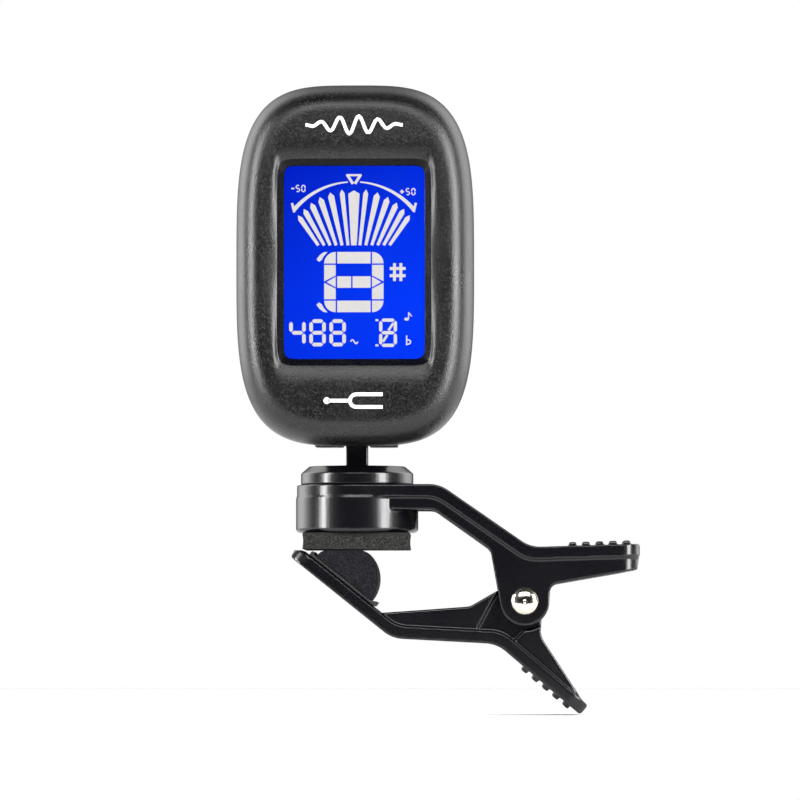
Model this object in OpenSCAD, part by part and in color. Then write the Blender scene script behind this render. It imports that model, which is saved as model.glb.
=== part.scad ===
// Clip-on instrument tuner: a display head on a tilting, swivelling stem, held by a sprung clip.
// X runs from the jaws to the handles, -Y is the display side, +Z is up.
// The origin is on the swivel axis, in the clamping face of the fixed pad.

/* [Head] */
// Width of the head
head_w = 36; // [34:0.5:40]
// Height of the head
head_h = 54.6; // [53:0.2:60]
// Depth of the casing, without the hinge ears
head_d = 13.2; // [13:0.1:16]
// Squareness of the head's outline, 2 is an ellipse
head_n = 3.6; // [3:0.1:5]
// Casing wall
wall = 1.5; // [1.2:0.1:2]

/* [Display] */
// Width of the visible display
view_w = 21.2; // [18:0.1:22]
// Height of the visible display
view_h = 29.1; // [24:0.1:30]
// Width of the bevel round the window
bevel_w = 1.2; // [0.8:0.1:1.5]

/* [Swivel and tilt] */
// Height of the tilt axis
tilt_z = 19.4; // [18:0.1:22]
// Radius of the hinge ears
ear_r = 3.8; // [3.4:0.1:4.2]
// Radius of the swivel cap
cap_r = 8.6; // [7:0.1:9]
// Radius of the swivel shaft
shaft_r = 2.6; // [2:0.1:3]

/* [Clip] */
// Outer radius of the barrel under the swivel
barrel_r = 9.35; // [9:0.05:10]
// Half width of both arms
arm_half_w = 8.2; // [7.8:0.1:9]
// Thickness of the arms' outer strips
strip_t = 1.9; // [1.6:0.1:2.2]
// Radius of the half-round pad
round_pad_r = 5.3; // [5:0.1:5.5]
// Slope of the sprung jaw, in degrees
jaw_slope = 38.7; // [37:0.1:40]

/* [Battery and buttons] */
// Radius of the coin cell
cell_r = 10; // [10:0.5:10]
// Thickness of the coin cell
cell_t = 3.2; // [3.2:0.1:3.2]
// Spacing of the three buttons
button_pitch = 9.5; // [9.2:0.1:9.8]

/* [Hidden] */
$fn = 64;
tiny = 0.01;
past = 1; // how far a cut runs past the face it opens
big = 40; // larger than any arm's section

// Depths of the head, front to back
front_y = -17.2;
back_y = front_y + head_d;
split_y = -7.2;
seam = 0.12;
front_wall = 1.8;
window_y = front_y + front_wall;
inner_back_y = back_y - wall;
head_mid_z = 15.6 + head_h / 2;
view_mid_z = 43.1;
board_y = -9;
board_t = 1;

// Battery, buttons and screws on the back
cell_z = 40;
cover_r = 11.6;
cover_gap = 0.15;
button_z = 56.6;
button_travel = 0.5;
screw_x = 10.6;
screw_dz = 20.5;
boss_r = 2;
screw_bore_r = 0.95;
pocket_r = 1.95; // the pockets for the screws' heads

// Rounding of the casing's faces: [depth from the face, inset of the outline]
front_rounding = [[0, 3.4], [0.15, 2.5], [0.6, 1.5], [1.5, 0.65], [3, 0.15], [5, 0]];
front_rim = 0.1;
rear_rim = 0.35;
rear_rounding = [[1.6, 0.1], [0.7, 0.6], [tiny, 1.8]];

// The swivel's screw and the tilt hinge's pin and washers
pin_r = 1.2;
pin_bore_r = 1.25;
pin_half_len = 6.1;
tilt_washer = [3, 0.25]; // radius and thickness
swivel_bore_r = 1.2;
swivel_bore_top_z = 11.5;

// The display's layers, as [width, height, corner radius]
window = [24.4, 32.2, 1.5];
gasket_t = 0.2;
window_t = 1;
glass = [23.6, 31.6, 0.3];
glass_t = 1.7;

// Heights of the clip
pad_t = 2.5;
tape_t = 0.1;
barrel_z = pad_t + tape_t;
plate_top_z = 9.9;
barrel_roof_z = 6.9;
plug_r = 6.2;
cap_z = plate_top_z + 0.05;
cap_top_z = 12.75;
cap_chamfer = [1.3, 1.1];

// Arms in side view: [x, z] corners of the outer faces
pivot = [25.6, -7.9];
upper_path = [[-barrel_r, plate_top_z], [12.7, plate_top_z], [26.5, 0.35], [43.1, 0.85]];
lower_path = [[-10, -1.08], [5.5, -13.5], [21.4, -14.35], [34, -25.1]];
bend_r = 5;
plan_r = 3; // the handles' corners seen from above
strip_end_r = 0.4;
tip_rim = [1.3, 1.7]; // the rim across the jaw's tip, along the slope and up
jaw_gap = 0.1; // between the closed jaw and the fixed pad
web_t = 1.3;
web_y = arm_half_w - 0.4;
lower_ear_y = web_y - web_t - 0.15;
ear_hole_r = 1.55;
rivet_r = 1.5;
rivet_head_r = 2.1;
rivet_head_h = 1;
upper_ear_r = 3.75;
lower_ear_r = 3.4;
rib_count = 5;
rib_pitch = 2.05;
rib = [1.1, 11, 0.4];
upper_ribs_from = [32.9, 0.54];
upper_handle_slope = 1.7;
lower_ribs_from = [25.8, -18.1];
lower_handle_slope = -40.4;

// ---------- Outlines ----------

function unit(v) = v / norm(v);
function turned(v) = [-v[1], v[0]];
function half_turn(a) = a > 180 ? a - 360 : a < -180 ? a + 360 : a;

// A superellipse round the origin
function oval(w, h, n = head_n, count = 112) = [
    for (i = [0:count - 1])
        let (c = cos(360 * i / count), s = sin(360 * i / count))
            [w / 2 * sign(c) * pow(abs(c), 2 / n), h / 2 * sign(s) * pow(abs(s), 2 / n)]
];

// One corner of an outline as an arc of radius r, or as the bare point if r is 0
function corner(a, p, b, r, steps = 10) =
    r <= 0 ? [p] :
    let (
        u = unit(a - p),
        v = unit(b - p),
        half = acos(u * v) / 2,
        centre = p + unit(u + v) * r / sin(half),
        from = p + u * r / tan(half) - centre,
        to = p + v * r / tan(half) - centre,
        start = atan2(from[1], from[0]),
        sweep = half_turn(atan2(to[1], to[0]) - start)
    )
    [for (i = [0:steps]) centre + r * [cos(start + sweep * i / steps), sin(start + sweep * i / steps)]];

// An outline from [x, y, radius] corners
function rounded(points) = [
    for (i = [0:len(points) - 1])
        let (
            a = points[(i + len(points) - 1) % len(points)],
            p = points[i],
            b = points[(i + 1) % len(points)]
        )
        each corner([a[0], a[1]], [p[0], p[1]], [b[0], b[1]], p[2])
];

// Where a corner of a path goes when the path moves sideways by t
function moved(path, i, t) =
    let (
        before = i > 0 ? turned(unit(path[i] - path[i - 1])) : turned(unit(path[1] - path[0])),
        after = i < len(path) - 1 ? turned(unit(path[i + 1] - path[i])) : before
    )
    path[i] + (before + after) / (1 + before * after) * t;

// The side view of a bent strip: radius is the bends' inner radius, end_r rounds both ends
function strip(path, t, end_r) = rounded([
    for (i = [0:len(path) - 1])
        [path[i][0], path[i][1], (i == 0 || i == len(path) - 1) ? end_r : bend_r],
    for (i = [len(path) - 1:-1:0])
        let (p = moved(path, i, t)) [p[0], p[1], (i == 0 || i == len(path) - 1) ? end_r : bend_r]
]);

// ---------- Helpers ----------

// Draws an XZ outline from y0 back to y1
module sheet(y0, y1) {
    translate([0, y1, 0]) rotate([90, 0, 0]) linear_extrude(y1 - y0) children();
}

// Both side plates of an arm, between two distances from the middle
module side_plates(inner, outer) {
    sheet(-outer, -inner) children();
    sheet(inner, outer) children();
}

// Draws an XY outline as a column through the whole clip
module column() {
    translate([0, 0, -big / 2]) linear_extrude(big) children();
}

// A round bar along Y
module bar_y(at, r, y0, y1) {
    translate([at[0], y1, at[1]]) rotate([90, 0, 0]) cylinder(r = r, h = y1 - y0);
}

// A round bar along X at a height on the tilt axis
module bar_x(r, x0, x1) {
    translate([x0, 0, tilt_z]) rotate([0, 90, 0]) cylinder(r = r, h = x1 - x0);
}

// A thin slice of the head's outline
module head_slice(y, inset, mid_z = head_mid_z) {
    translate([0, 0, mid_z])
        sheet(y, y + tiny) polygon(oval(head_w - 2 * inset, head_h - 2 * inset));
}

// A rectangle with round corners, in the XZ plane
module soft_rectangle(w, h, r) {
    polygon(rounded([[-w / 2, -h / 2, r], [w / 2, -h / 2, r], [w / 2, h / 2, r], [-w / 2, h / 2, r]]));
}

// A frame or panel behind the window
module panel(w, h, r, y0, y1) {
    translate([0, 0, view_mid_z]) sheet(y0, y1) soft_rectangle(w, h, r);
}

// A capsule lying along X
module capsule(w, h) {
    square([w - h, h], center = true);
    for (side = [-1, 1]) translate([side * (w - h) / 2, 0]) circle(h / 2);
}

// Puts a child at each case screw
module at_screws() {
    for (x = [-screw_x, screw_x], z = [head_mid_z - screw_dz, head_mid_z + screw_dz])
        translate([x, 0, z]) children();
}

// The frame of the sprung jaw: X down the slope, Z away from the strip's inner face
module on_jaw() {
    inner = moved(lower_path, 0, strip_t);
    translate([inner[0], 0, inner[1]]) rotate([0, jaw_slope, 0]) children();
}

// A row of grip ribs along a strip's outer face, from a point and at a slope in degrees
module grip_ribs(at, slope, up) {
    for (i = [0:rib_count - 1])
        translate([at[0], 0, at[1]]) rotate([0, -slope, 0])
            translate([i * rib_pitch, 0, up * rib[2] / 2]) cube(rib + [0, 0, rib[2]], center = true);
}

// ---------- Clip ----------

// Plan view of the upper arm: round about the barrel, then straight sides
module upper_plan(half_w) {
    inside_barrel = 0.15;
    flare_w = 1.05;
    flare_x = 7.5;
    sides_from = 2;
    end_x = upper_path[3][0];
    circle(barrel_r - (arm_half_w - half_w) - inside_barrel, $fn = 128);
    polygon([[0, -half_w - flare_w], [flare_x, -half_w], [flare_x, half_w], [0, half_w + flare_w]]);
    polygon(rounded([[sides_from, -half_w, 0], [end_x, -half_w, plan_r], [end_x, half_w, plan_r],
        [sides_from, half_w, 0]]));
}

// Side view of the upper arm's webs, with the ear round the rivet
module upper_web() {
    polygon(rounded([
        [5.1, 9, 0], [5.1, 6.05, 0.7], [11.8, 6, 2], [20.4, -0.1, 2], [21.85, -8.2, 0],
        [29.35, -7.9, 0], [29.5, -5.4, 1.4], [42.7, -3.1, 0.3], [43.05, -0.5, 0],
        [26.4, -0.4, 0], [12, 9, 0]
    ]));
    translate(pivot) circle(upper_ear_r);
}

// Closes the handle's end under the strip, a little thicker in both corners
module upper_end_wall() {
    wall_x = 41;
    corner_x = 40.6;
    corner_w = 3;
    intersection() {
        sheet(-arm_half_w, arm_half_w) upper_web();
        column() difference() {
            upper_plan(web_y);
            square([2 * wall_x, 2 * (web_y - corner_w)], center = true);
        }
        translate([corner_x, -big / 2, -big / 2]) cube(big);
    }
}

// The barrel under the plate, its lower edge rounded
module barrel() {
    edge_r = 0.6;
    top = plate_top_z - strip_t;
    rotate_extrude($fn = 128)
        polygon(rounded([[0, barrel_z, 0], [barrel_r, barrel_z, edge_r], [barrel_r, top, 0], [0, top, 0]]));
}

module upper_arm() {
    color("#26262a") difference() {
        union() {
            intersection() {
                sheet(-big / 2, big / 2) polygon(strip(upper_path, -strip_t, strip_end_r));
                column() upper_plan(arm_half_w);
            }
            intersection() {
                side_plates(web_y - web_t, web_y) upper_web();
                column() upper_plan(web_y);
            }
            upper_end_wall();
            barrel();
            grip_ribs(upper_ribs_from, upper_handle_slope, 1);
        }
        translate([0, 0, barrel_z - past]) cylinder(r = plug_r, h = barrel_roof_z - barrel_z + past);
        translate([0, 0, barrel_z]) cylinder(r = shaft_r + 0.05, h = plate_top_z);
        bar_y(pivot, ear_hole_r, -big, big);
    }
}

module barrel_base() {
    base_t = 1.2;
    color("#1e1e20") translate([0, 0, barrel_z]) cylinder(r = plug_r - 0.03, h = base_t);
}

// A block whose middle is over the origin, standing at a height
module block(size, z) {
    translate([-size[0] / 2, -size[1] / 2, z]) cube(size);
}

module upper_pad_tape() {
    color("#141414") block([16, 15.6, tape_t], pad_t);
}

module upper_pad() {
    color("#464644") block([16.3, 16, pad_t], 0);
}

// The domed head of the rivet, its flat face in the XY plane
module rivet_head() {
    dome_r = (pow(rivet_head_r, 2) + pow(rivet_head_h, 2)) / (2 * rivet_head_h);
    rotate_extrude() intersection() {
        translate([0, rivet_head_h - dome_r]) circle(dome_r);
        square([rivet_head_r, rivet_head_h]);
    }
}

module pivot_rivet() {
    color("#cfc8ba") {
        bar_y(pivot, rivet_r, -web_y - 0.1, web_y);
        translate([pivot[0], -web_y, pivot[1]]) rotate([90, 0, 0]) rivet_head();
    }
}

module rivet_cap() {
    color("#cfc8ba") translate([pivot[0], web_y, pivot[1]]) rotate([-90, 0, 0]) rivet_head();
}

// Torsion spring: two straight legs and a coil round the rivet
wire_r = 0.45;
coil_r = 2.55;
coil_half_len = 3.4;
coil_turns = 5;
leg_tip_up = [10.2, 6.1];
leg_tip_down = [4.2, -10.4];
function bearing(v) = atan2(v[1], v[0]);
leg_start = bearing(leg_tip_up) + acos(coil_r / norm(leg_tip_up));
leg_end = bearing(leg_tip_down) - acos(coil_r / norm(leg_tip_down)) + 360 * (coil_turns + 1);
coil_steps = 24 * coil_turns;
function coil_point(f) =
    let (a = leg_start + (leg_end - leg_start) * f)
        [coil_r * cos(a), coil_half_len * (1 - 2 * f), coil_r * sin(a)];
spring_path = concat(
    [[leg_tip_up[0], coil_half_len, leg_tip_up[1]]],
    [for (i = [0:coil_steps]) coil_point(i / coil_steps)],
    [[leg_tip_down[0], -coil_half_len, leg_tip_down[1]]]
);

// A round wire swept along points that never run parallel to Y
module wire(points, r, sides = 8) {
    last = len(points) - 1;
    rings = [
        for (i = [0:last])
            let (
                along = unit(points[min(i + 1, last)] - points[max(i - 1, 0)]),
                side = unit(cross(along, [0, 1, 0])),
                up = cross(side, along)
            )
            for (k = [0:sides - 1])
                points[i] + r * (side * cos(360 * k / sides) + up * sin(360 * k / sides))
    ];
    skin = [
        for (i = [0:last - 1], k = [0:sides - 1])
            let (next = (k + 1) % sides)
                [i * sides + k, i * sides + next, (i + 1) * sides + next, (i + 1) * sides + k]
    ];
    ends = [[for (k = [sides - 1:-1:0]) k], [for (k = [0:sides - 1]) last * sides + k]];
    polyhedron(rings, concat(skin, ends));
}

module torsion_spring() {
    color("#b8b6b0") translate([pivot[0], 0, pivot[1]]) wire(spring_path, wire_r);
}

// Side view of the lower arm's webs
module lower_web() {
    polygon(rounded([
        [4, -9.6, 0], [9.8, -9.2, 0], [17.3, -8.65, 2], [22.6, -5.6, 0],
        [28.3, -8.6, 0], [28, -13.1, 3], [34.7, -23.4, 0.3], [33.6, -24.2, 0], [21, -13.2, 0],
        [5.9, -12.4, 0]
    ]));
    translate(pivot) circle(lower_ear_r);
}

// The part of the lower web that stays inside the upper ears
module ear_recess() {
    translate(pivot) {
        circle(lower_ear_r + 1);
        polygon([[-7.3, -4.4], [-3.2, 3.4], [4, 4], [4.4, 0], [2, -2.4], [-1.9, -6.2]]);
    }
}

// The space that the fixed pad fills, and what lies over it
module above_jaw() {
    translate([-big / 2, -big / 2, -jaw_gap]) cube([big / 2 + 15, big, big]);
}

// Everything under the lower arm's rounded plan, in the frame of the jaw's slope
module lower_plan(half_w) {
    tip_x = -0.9;
    far_x = 49.6;
    tip_r = 4;
    on_jaw() column() polygon(rounded([[tip_x, -half_w, tip_r], [far_x, -half_w, plan_r],
        [far_x, half_w, plan_r], [tip_x, half_w, tip_r]]));
}

module lower_arm() {
    color("#232327") difference() {
        union() {
            intersection() {
                union() {
                    sheet(-big / 2, big / 2) polygon(strip(lower_path, strip_t, strip_end_r));
                    on_jaw() translate([-tip_rim[0] + 0.4, -big / 2, -0.9])
                        cube([tip_rim[0], big, tip_rim[1]]);
                }
                lower_plan(arm_half_w);
            }
            intersection() {
                union() {
                    side_plates(lower_ear_y - web_t, lower_ear_y) lower_web();
                    side_plates(lower_ear_y - tiny, web_y) difference() {
                        lower_web();
                        ear_recess();
                    }
                }
                lower_plan(web_y);
            }
            grip_ribs(lower_ribs_from, lower_handle_slope, -1);
        }
        bar_y(pivot, ear_hole_r, -big, big);
        above_jaw();
    }
}

carrier_from = 2.1;
carrier_len = 12.6;
jaw_tape_t = 0.15;
carrier_t = 0.45;

module pad_tape() {
    color("#141414") on_jaw()
        translate([carrier_from + 0.4, -7.3, 0]) cube([carrier_len - 0.8, 14.6, jaw_tape_t]);
}

module pad_carrier() {
    lip = [0.5, 0.3];
    width = 15.6;
    color("#1c1c1e") difference() {
        on_jaw() translate([carrier_from, -width / 2, jaw_tape_t]) {
            cube([carrier_len, width, carrier_t]);
            for (x = [0, carrier_len - lip[0]])
                translate([x, 0, 0]) cube([lip[0], width, carrier_t + lip[1]]);
        }
        above_jaw();
    }
}

// Half-round rubber pad, pressed flat where it meets the fixed pad
module round_pad() {
    color("#302e33") difference() {
        on_jaw() translate([carrier_from + carrier_len / 2, 0, jaw_tape_t + carrier_t])
            sheet(-8, 8) intersection() {
                circle(round_pad_r, $fn = 96);
                translate([-round_pad_r, 0]) square([2 * round_pad_r, round_pad_r]);
            }
        above_jaw();
    }
}

// ---------- Swivel ----------

module swivel_stem() {
    stem_half_w = 1.65;
    stem_half_d = 2.4;
    knuckle_r = 3.3;
    color("#202024") difference() {
        union() {
            translate([0, 0, cap_z]) rotate_extrude($fn = 128)
                polygon([[0, 0], [cap_r, 0], [cap_r, cap_top_z - cap_z - cap_chamfer[1]],
                    [cap_r - cap_chamfer[0], cap_top_z - cap_z], [0, cap_top_z - cap_z]]);
            translate([0, 0, barrel_roof_z - 0.1]) cylinder(r = shaft_r, h = cap_z - barrel_roof_z + 0.2);
            translate([-stem_half_w, -stem_half_d, cap_top_z - 0.5])
                cube([2 * stem_half_w, 2 * stem_half_d, tilt_z - cap_top_z + 0.5]);
            bar_x(knuckle_r, -stem_half_w, stem_half_w);
        }
        bar_x(pin_bore_r, -past - stem_half_w, past + stem_half_w);
        cylinder(r = swivel_bore_r, h = swivel_bore_top_z);
    }
}

module swivel_washer() {
    washer_r = 4.6;
    washer_t = 0.6;
    color("#b5b2aa") translate([0, 0, barrel_roof_z - washer_t - 0.1]) difference() {
        cylinder(r = washer_r, h = washer_t);
        translate([0, 0, -past]) cylinder(r = pin_bore_r, h = 1 + 2 * past);
    }
}

module swivel_screw() {
    head_z = 4.9;
    head = [2.3, 1.3];
    thread = [1.15, 5.9];
    slot = [2.6, 0.5, 0.8];
    color("#b5b2aa") difference() {
        union() {
            translate([0, 0, head_z]) cylinder(r = head[0], h = head[1]);
            translate([0, 0, head_z + 0.6]) cylinder(r = thread[0], h = thread[1]);
        }
        for (turn = [0, 90])
            translate([0, 0, head_z + 0.1]) rotate([0, 0, turn]) cube(slot, center = true);
    }
}

module tilt_pin() {
    color("#8d8b86") bar_x(pin_r, -pin_half_len, pin_half_len);
}

module tilt_washers() {
    color("#d8d4c8") for (x = [-1.93, 1.68]) difference() {
        bar_x(tilt_washer[0], x, x + tilt_washer[1]);
        bar_x(pin_bore_r, x - past, x + past);
    }
}

// ---------- Head casing ----------

// The bevelled hole for the display
module window_cut() {
    sink = 1.3;
    edge_w = view_w + 2 * bevel_w - 0.2;
    edge_h = view_h + 2 * bevel_w;
    hull() {
        panel(edge_w, edge_h, 2, front_y - tiny, front_y);
        panel(view_w, view_h, 1.2, front_y + sink - tiny, front_y + sink);
    }
    panel(view_w, view_h, 1.2, front_y - past, window_y + past);
}

module front_shell() {
    color("#2b2b2e") difference() {
        union() {
            difference() {
                hull() {
                    for (step = front_rounding) head_slice(front_y + step[0], step[1]);
                    head_slice(split_y - seam, front_rim);
                }
                translate([0, 0, head_mid_z]) sheet(window_y, split_y + past)
                    polygon(oval(head_w - 2 * wall - 0.6, head_h - 2 * wall - 0.6));
            }
            at_screws() sheet(window_y - tiny, split_y - 0.3) circle(boss_r);
        }
        window_cut();
        at_screws() sheet(window_y + 1, split_y + past) circle(screw_bore_r);
    }
}

// Side view, as [y, z], of one hinge ear
module ear_profile() {
    translate([0, tilt_z]) circle(ear_r);
    polygon([[inner_back_y + 0.3, tilt_z - ear_r], [0, tilt_z - ear_r], [2.9, tilt_z + 2.45],
        [back_y + 0.2, tilt_z + 10], [inner_back_y + 0.3, tilt_z + 10]]);
}

module hinge_ears() {
    ear_from = 1.95;
    ear_w = 4.35;
    for (x = [ear_from, -ear_from - ear_w])
        translate([x, 0, 0]) rotate([90, 0, 90]) linear_extrude(ear_w) ear_profile();
}

module rear_shell() {
    color("#242427") difference() {
        union() {
            difference() {
                hull() {
                    head_slice(split_y + seam, rear_rim);
                    for (step = rear_rounding) head_slice(back_y - step[0], rear_rim + step[1]);
                }
                translate([0, 0, head_mid_z]) sheet(split_y - past, inner_back_y)
                    polygon(oval(head_w - 2 * wall - 1, head_h - 2 * wall - 1));
            }
            hinge_ears();
        }
        bar_x(pin_bore_r, -big, big);
        bar_y([0, cell_z], cover_r + cover_gap, inner_back_y - past, back_y + past);
        for (side = [0, 180]) cover_notch(side);
        for (i = [-1:1]) translate([i * button_pitch, 0, button_z])
            sheet(inner_back_y - past, back_y + past) capsule(7.8, 4.9);
        at_screws() {
            sheet(split_y, back_y + past) circle(screw_bore_r);
            sheet(back_y - 1, back_y + past) circle(pocket_r);
        }
    }
}

// ---------- Display and electronics ----------

module window_gasket() {
    color("#101010") difference() {
        panel(window[0], window[1], window[2], window_y, window_y + gasket_t);
        panel(view_w + 1, view_h + 1, window[2], window_y - past, window_y + past);
    }
}

module display_window() {
    from = window_y + gasket_t;
    color("#dfe6f0", 0.5) panel(window[0], window[1], window[2], from, from + window_t);
}

lcd_y = window_y + gasket_t + window_t + 0.15;
module lcd_panel() {
    color("#0030e0") panel(glass[0], glass[1], glass[2], lcd_y, lcd_y + glass_t);
}

module lcd_frame() {
    color("#e4e4de") difference() {
        panel(27, 35, 1, lcd_y + 0.05, board_y - board_t - 0.02);
        panel(glass[0] + 0.2, glass[1] + 0.2, glass[2], lcd_y - past, board_y);
    }
}

module backlight_panel() {
    color("#f2f5ff") translate([0, 0, 1.6])
        panel(glass[0] - 0.2, 28.2, glass[2], lcd_y + glass_t + 0.05, board_y - board_t - 0.05);
}

module contact_strip() {
    color("#c86a78") translate([-10, lcd_y + 1.72, view_mid_z - 15.6])
        cube([20, board_y - board_t - lcd_y - 1.74, 2]);
}

module circuit_board() {
    color("#1c6a3c") difference() {
        translate([0, 0, head_mid_z]) sheet(board_y - board_t, board_y) soft_rectangle(28, 45.4, 4.5);
        at_screws() sheet(board_y - 2, board_y + 1) circle(boss_r + 0.3);
    }
}

chip_z = 62.7;
module tuner_chip() {
    color("#181818") translate([-6.4, board_y + 0.02, chip_z - 2.6]) cube([5.2, 1, 5.2]);
}

module crystal() {
    color("#c9c9c9") translate([0.8, board_y + 1.05, chip_z]) rotate([0, 90, 0]) cylinder(r = 1, h = 6);
}

module button_switches() {
    color("#c2c2c2") for (i = [-1:1])
        translate([i * button_pitch - 2.25, board_y + 0.02, button_z - 1.5]) cube([4.5, 1.45, 3]);
}

module battery_holder() {
    color("#2c2c30") difference() {
        bar_y([0, cell_z], 12.2, board_y + 0.02, board_y + 2.7);
        bar_y([0, cell_z], cell_r + 0.35, board_y - past, board_y + 4);
        translate([cell_r - 1, board_y - past, cell_z - 3]) cube([4, 5, 6]);
    }
}

module negative_contact() {
    color("#cdb56a") translate([-1.5, board_y + 0.01, cell_z - 8]) cube([3, 0.18, 16]);
}

module positive_contact() {
    color("#cdb56a") translate([cell_r + 0.1, board_y + 0.02, cell_z - 2.5]) cube([0.3, 2.7, 5]);
}

cell_y = board_y + 0.2;
module coin_cell() {
    color("#d4d4d2") bar_y([0, cell_z], cell_r, cell_y, cell_y + cell_t);
}

piezo_z = 23;
module piezo_disc() {
    color("#c9a552") bar_y([0, piezo_z], 4.6, inner_back_y - 0.42, inner_back_y - 0.2);
    color("#e8e4d8") bar_y([0, piezo_z], 3, inner_back_y - 0.2, inner_back_y - 0.01);
}

module piezo_leads() {
    color("#b03030") for (x = [-1.2, 1.2])
        bar_y([x, piezo_z + 1.2 * x], 0.3, board_y + 0.02, inner_back_y - 0.45);
}

module case_screws() {
    color("#9c9a94") at_screws() difference() {
        union() {
            sheet(back_y - 0.95, back_y - 0.15) circle(1.8);
            sheet(window_y + 1.5, back_y - 0.5) circle(0.9);
        }
        for (turn = [0, 90]) rotate([0, turn, 0])
            translate([-1.1, back_y - 0.6, -0.22]) cube([2.2, 1, 0.44]);
    }
}

// ---------- Buttons and battery cover ----------

module rear_button(i) {
    translate([i * button_pitch, 0, button_z]) {
        sheet(inner_back_y - 0.1, back_y + 0.5) capsule(7.5, 4.6);
        sheet(inner_back_y - 0.75, inner_back_y - 0.05) capsule(8.8, 6);
        sheet(board_y + 1.47 + button_travel + 0.06, inner_back_y - 0.7) circle(1.4);
    }
}

module power_button() {
    color("#3a3a3e") rear_button(0);
}

module pitch_button() {
    color("#3a3a3e") rear_button(-1);
}

module key_button() {
    color("#3a3a3e") rear_button(1);
}

lug_r = 12.7;
lug_half_angle = 14;
opening_turn = 45;
coin_slot = [13, 0.8, 1.8];

// A sector of a ring in the XZ plane, at an angle from +X
module lug(outer, at, half_angle) {
    translate([0, 0, cell_z]) intersection() {
        children();
        rotate([0, -at, 0]) sheet(-20, 0) polygon([[0, 0],
            [2 * outer * cos(half_angle), -2 * outer * sin(half_angle)],
            [2 * outer * cos(half_angle), 2 * outer * sin(half_angle)]]);
    }
}

module cover_notch(side) {
    lug(lug_r, side - opening_turn, lug_half_angle + 2)
        sheet(inner_back_y - past, back_y + past) circle(lug_r + 0.2);
}

module battery_cover() {
    lug_front_y = inner_back_y - 0.65;
    color("#242427") difference() {
        union() {
            bar_y([0, cell_z], cover_r, inner_back_y + 0.02, back_y - 0.02);
            for (side = [0, 180]) lug(lug_r, side, lug_half_angle)
                sheet(lug_front_y, inner_back_y + 0.3) difference() {
                    circle(cover_r - 0.1);
                    circle(cell_r + 0.4);
                }
            for (side = [0, 180]) lug(lug_r, side, lug_half_angle)
                sheet(lug_front_y, inner_back_y - 0.05) difference() {
                    circle(lug_r);
                    circle(cell_r + 0.4);
                }
        }
        translate([-coin_slot[0] / 2, back_y - coin_slot[1], cell_z - coin_slot[2] / 2])
            cube(coin_slot + [0, past, 0]);
    }
}

upper_arm();
barrel_base();
upper_pad_tape();
upper_pad();
pivot_rivet();
rivet_cap();
torsion_spring();
lower_arm();
pad_tape();
pad_carrier();
round_pad();
swivel_stem();
swivel_washer();
swivel_screw();
tilt_pin();
tilt_washers();
front_shell();
rear_shell();
window_gasket();
display_window();
lcd_panel();
lcd_frame();
backlight_panel();
contact_strip();
circuit_board();
tuner_chip();
crystal();
button_switches();
battery_holder();
negative_contact();
positive_contact();
coin_cell();
piezo_disc();
piezo_leads();
case_screws();
power_button();
pitch_button();
key_button();
battery_cover();
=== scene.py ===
"""Looks of a clip-on instrument tuner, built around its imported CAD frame.

Lengths are in mm and become metres with MM. Only the studio at the end is in metres.
"""

import math

import bmesh
import bpy
import numpy as np
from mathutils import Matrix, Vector
from mathutils.bvhtree import BVHTree


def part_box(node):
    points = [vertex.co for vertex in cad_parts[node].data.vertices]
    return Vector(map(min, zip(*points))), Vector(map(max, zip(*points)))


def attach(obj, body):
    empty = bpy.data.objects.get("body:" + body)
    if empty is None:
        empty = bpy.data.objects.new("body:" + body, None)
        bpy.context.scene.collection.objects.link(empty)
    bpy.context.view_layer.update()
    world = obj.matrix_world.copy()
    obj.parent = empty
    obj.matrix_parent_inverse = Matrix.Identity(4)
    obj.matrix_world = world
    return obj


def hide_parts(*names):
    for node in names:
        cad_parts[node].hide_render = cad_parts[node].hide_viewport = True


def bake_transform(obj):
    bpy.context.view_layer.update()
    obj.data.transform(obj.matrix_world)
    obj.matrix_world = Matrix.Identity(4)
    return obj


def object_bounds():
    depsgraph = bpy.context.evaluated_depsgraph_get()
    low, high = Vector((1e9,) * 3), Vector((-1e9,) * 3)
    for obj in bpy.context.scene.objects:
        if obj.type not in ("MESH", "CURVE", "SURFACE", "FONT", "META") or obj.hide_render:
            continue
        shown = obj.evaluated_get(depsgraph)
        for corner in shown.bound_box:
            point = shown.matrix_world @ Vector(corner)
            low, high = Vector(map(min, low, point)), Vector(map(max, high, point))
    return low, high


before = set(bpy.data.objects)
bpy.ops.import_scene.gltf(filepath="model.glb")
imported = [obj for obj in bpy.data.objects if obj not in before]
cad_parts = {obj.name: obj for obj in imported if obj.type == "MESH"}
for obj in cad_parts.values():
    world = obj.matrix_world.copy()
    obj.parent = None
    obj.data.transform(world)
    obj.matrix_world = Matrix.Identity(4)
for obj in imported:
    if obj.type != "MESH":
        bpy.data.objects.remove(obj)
cad_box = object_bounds()
MM = 0.001

# The head, as the CAD frame holds it, and three measures of it that no box gives
HEAD_LO, HEAD_HI = (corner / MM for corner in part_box("front_shell"))
HEAD_MID_Z = (HEAD_LO.z + HEAD_HI.z) / 2
FRONT_Y = HEAD_LO.y
SPLIT_Y = HEAD_HI.y
HEAD_W = HEAD_HI.x - HEAD_LO.x
HEAD_H = HEAD_HI.z - HEAD_LO.z
HEAD_N = 3.6
VIEW_W = 21.2
VIEW_H = 29.1
LCD_LO, LCD_HI = (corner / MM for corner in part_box("lcd_panel"))
LCD_MID_Z = (LCD_LO.z + LCD_HI.z) / 2
LCD_FRONT_Y = LCD_LO.y


# ---------- Materials ----------

# Where most values of a noise texture lie
NOISE_RANGE = (0.3, 0.7)


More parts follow.
